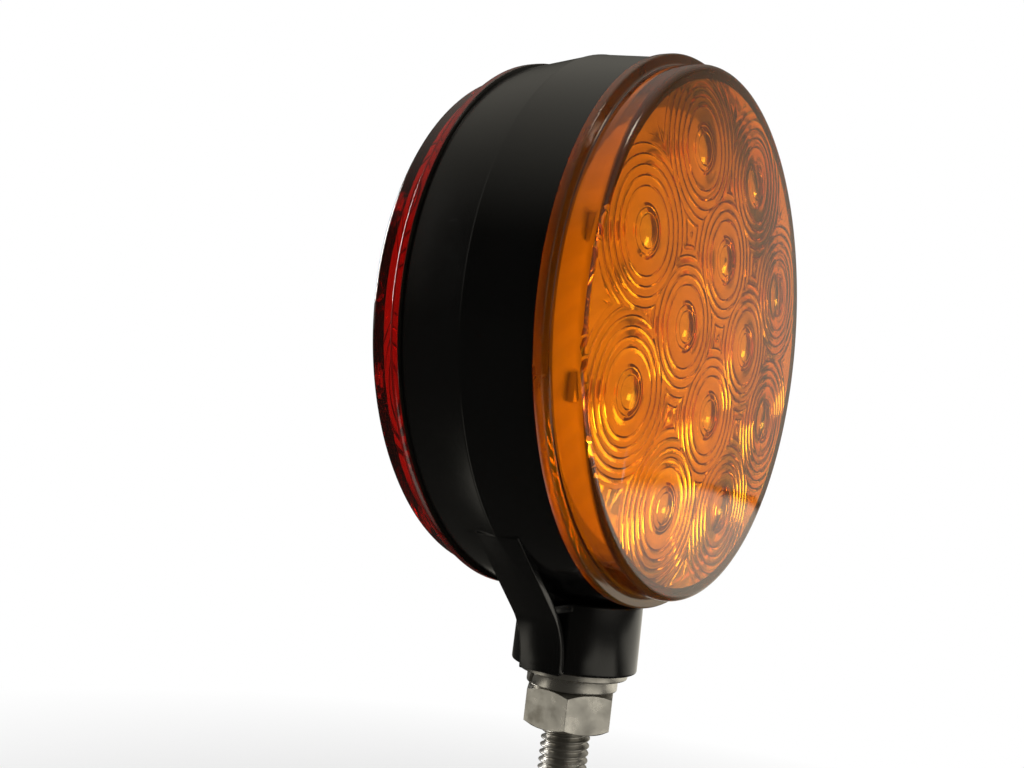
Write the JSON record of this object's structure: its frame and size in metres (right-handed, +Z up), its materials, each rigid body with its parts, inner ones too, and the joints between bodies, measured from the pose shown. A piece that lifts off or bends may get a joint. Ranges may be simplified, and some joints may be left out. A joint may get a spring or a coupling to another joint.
{
  "type": "double-face pedestal lamp",
  "caption": "Round double-face LED turn and tail lamp on a stud-mounted pedestal, amber lens on one face and red on the other, with washers and a nut on its hollow threaded stud.",
  "frame": {"origin": "on the stud's axis, in the plane where the pedestal's base rests on the bracket; the leads reach as far below it as the drum reaches above it, so it is also the centre of the whole part's box", "axes": "+Z up along the stud towards the lamp, amber face along -Y, red face along +Y"},
  "size_m": [0.1096, 0.0474, 0.2456],
  "materials": {
    "black_plastic": "glossy moulded black plastic",
    "amber_lens": "clear amber plastic, polished outside, ringed optics inside",
    "red_lens": "clear red plastic, polished outside, ringed optics inside",
    "board_coating": "white solder mask on glass-fibre board",
    "led_plastic": "LED package with a domed resin lens",
    "component_body": "black ceramic and epoxy component bodies",
    "steel_screw": "plain steel self-tapping screw",
    "zinc_plate": "bright zinc plating over steel",
    "tinned_copper": "tinned copper strands",
    "yellow_insulation": "satin PVC insulation",
    "red_insulation": "satin PVC insulation",
    "white_insulation": "satin PVC insulation"
  },
  "bodies": {
    "lamp": {"amber_board_screw_1": "steel_screw", "amber_board_screw_2": "steel_screw", "amber_board_screw_3": "steel_screw", "amber_circuit_board": "board_coating", "amber_led_01": "led_plastic", "amber_led_02": "led_plastic", "amber_led_03": "led_plastic", "amber_led_04": "led_plastic", "amber_led_05": "led_plastic", "amber_led_06": "led_plastic", "amber_led_07": "led_plastic", "amber_led_08": "led_plastic", "amber_led_09": "led_plastic", "amber_led_10": "led_plastic", "amber_led_11": "led_plastic", "amber_led_12": "led_plastic", "amber_lens": "amber_lens", "amber_rectifier_diode": "component_body", "amber_resistor_1": "component_body", "amber_resistor_2": "component_body", "amber_wire": "yellow_insulation", "amber_wire_bare_end": "tinned_copper", "ground_jumper": "white_insulation", "ground_wire": "white_insulation", "ground_wire_bare_end": "tinned_copper", "housing": "black_plastic", "mounting_stud": "zinc_plate", "red_board_screw_1": "steel_screw", "red_board_screw_2": "steel_screw", "red_board_screw_3": "steel_screw", "red_circuit_board": "board_coating", "red_led_01": "led_plastic", "red_led_02": "led_plastic", "red_led_03": "led_plastic", "red_led_04": "led_plastic", "red_led_05": "led_plastic", "red_led_06": "led_plastic", "red_led_07": "led_plastic", "red_led_08": "led_plastic", "red_led_09": "led_plastic", "red_led_10": "led_plastic", "red_led_11": "led_plastic", "red_led_12": "led_plastic", "red_lens": "red_lens", "red_rectifier_diode": "component_body", "red_resistor_1": "component_body", "red_resistor_2": "component_body", "red_wire": "red_insulation", "red_wire_bare_end": "tinned_copper"},
    "washers": {"flat_washer": "zinc_plate", "lock_washer": "zinc_plate"},
    "nut": {"hex_nut": "zinc_plate"}
  },
  "joints": [
    {"name": "washers_slide", "type": "slide", "parent": "lamp", "child": "washers", "axis": [0, 0, -1], "range_m": [0, 0.01725]},
    {"name": "nut_turn", "type": "hinge", "parent": "washers", "child": "nut", "pos_m": [0, 0, -0.008], "axis": [0, 0, -1], "range_deg": [0, 4140]}
  ],
  "couplings": [
    {"joint": "washers_slide", "follows": "nut_turn", "m_per_rad": 0.00023873}
  ]
}
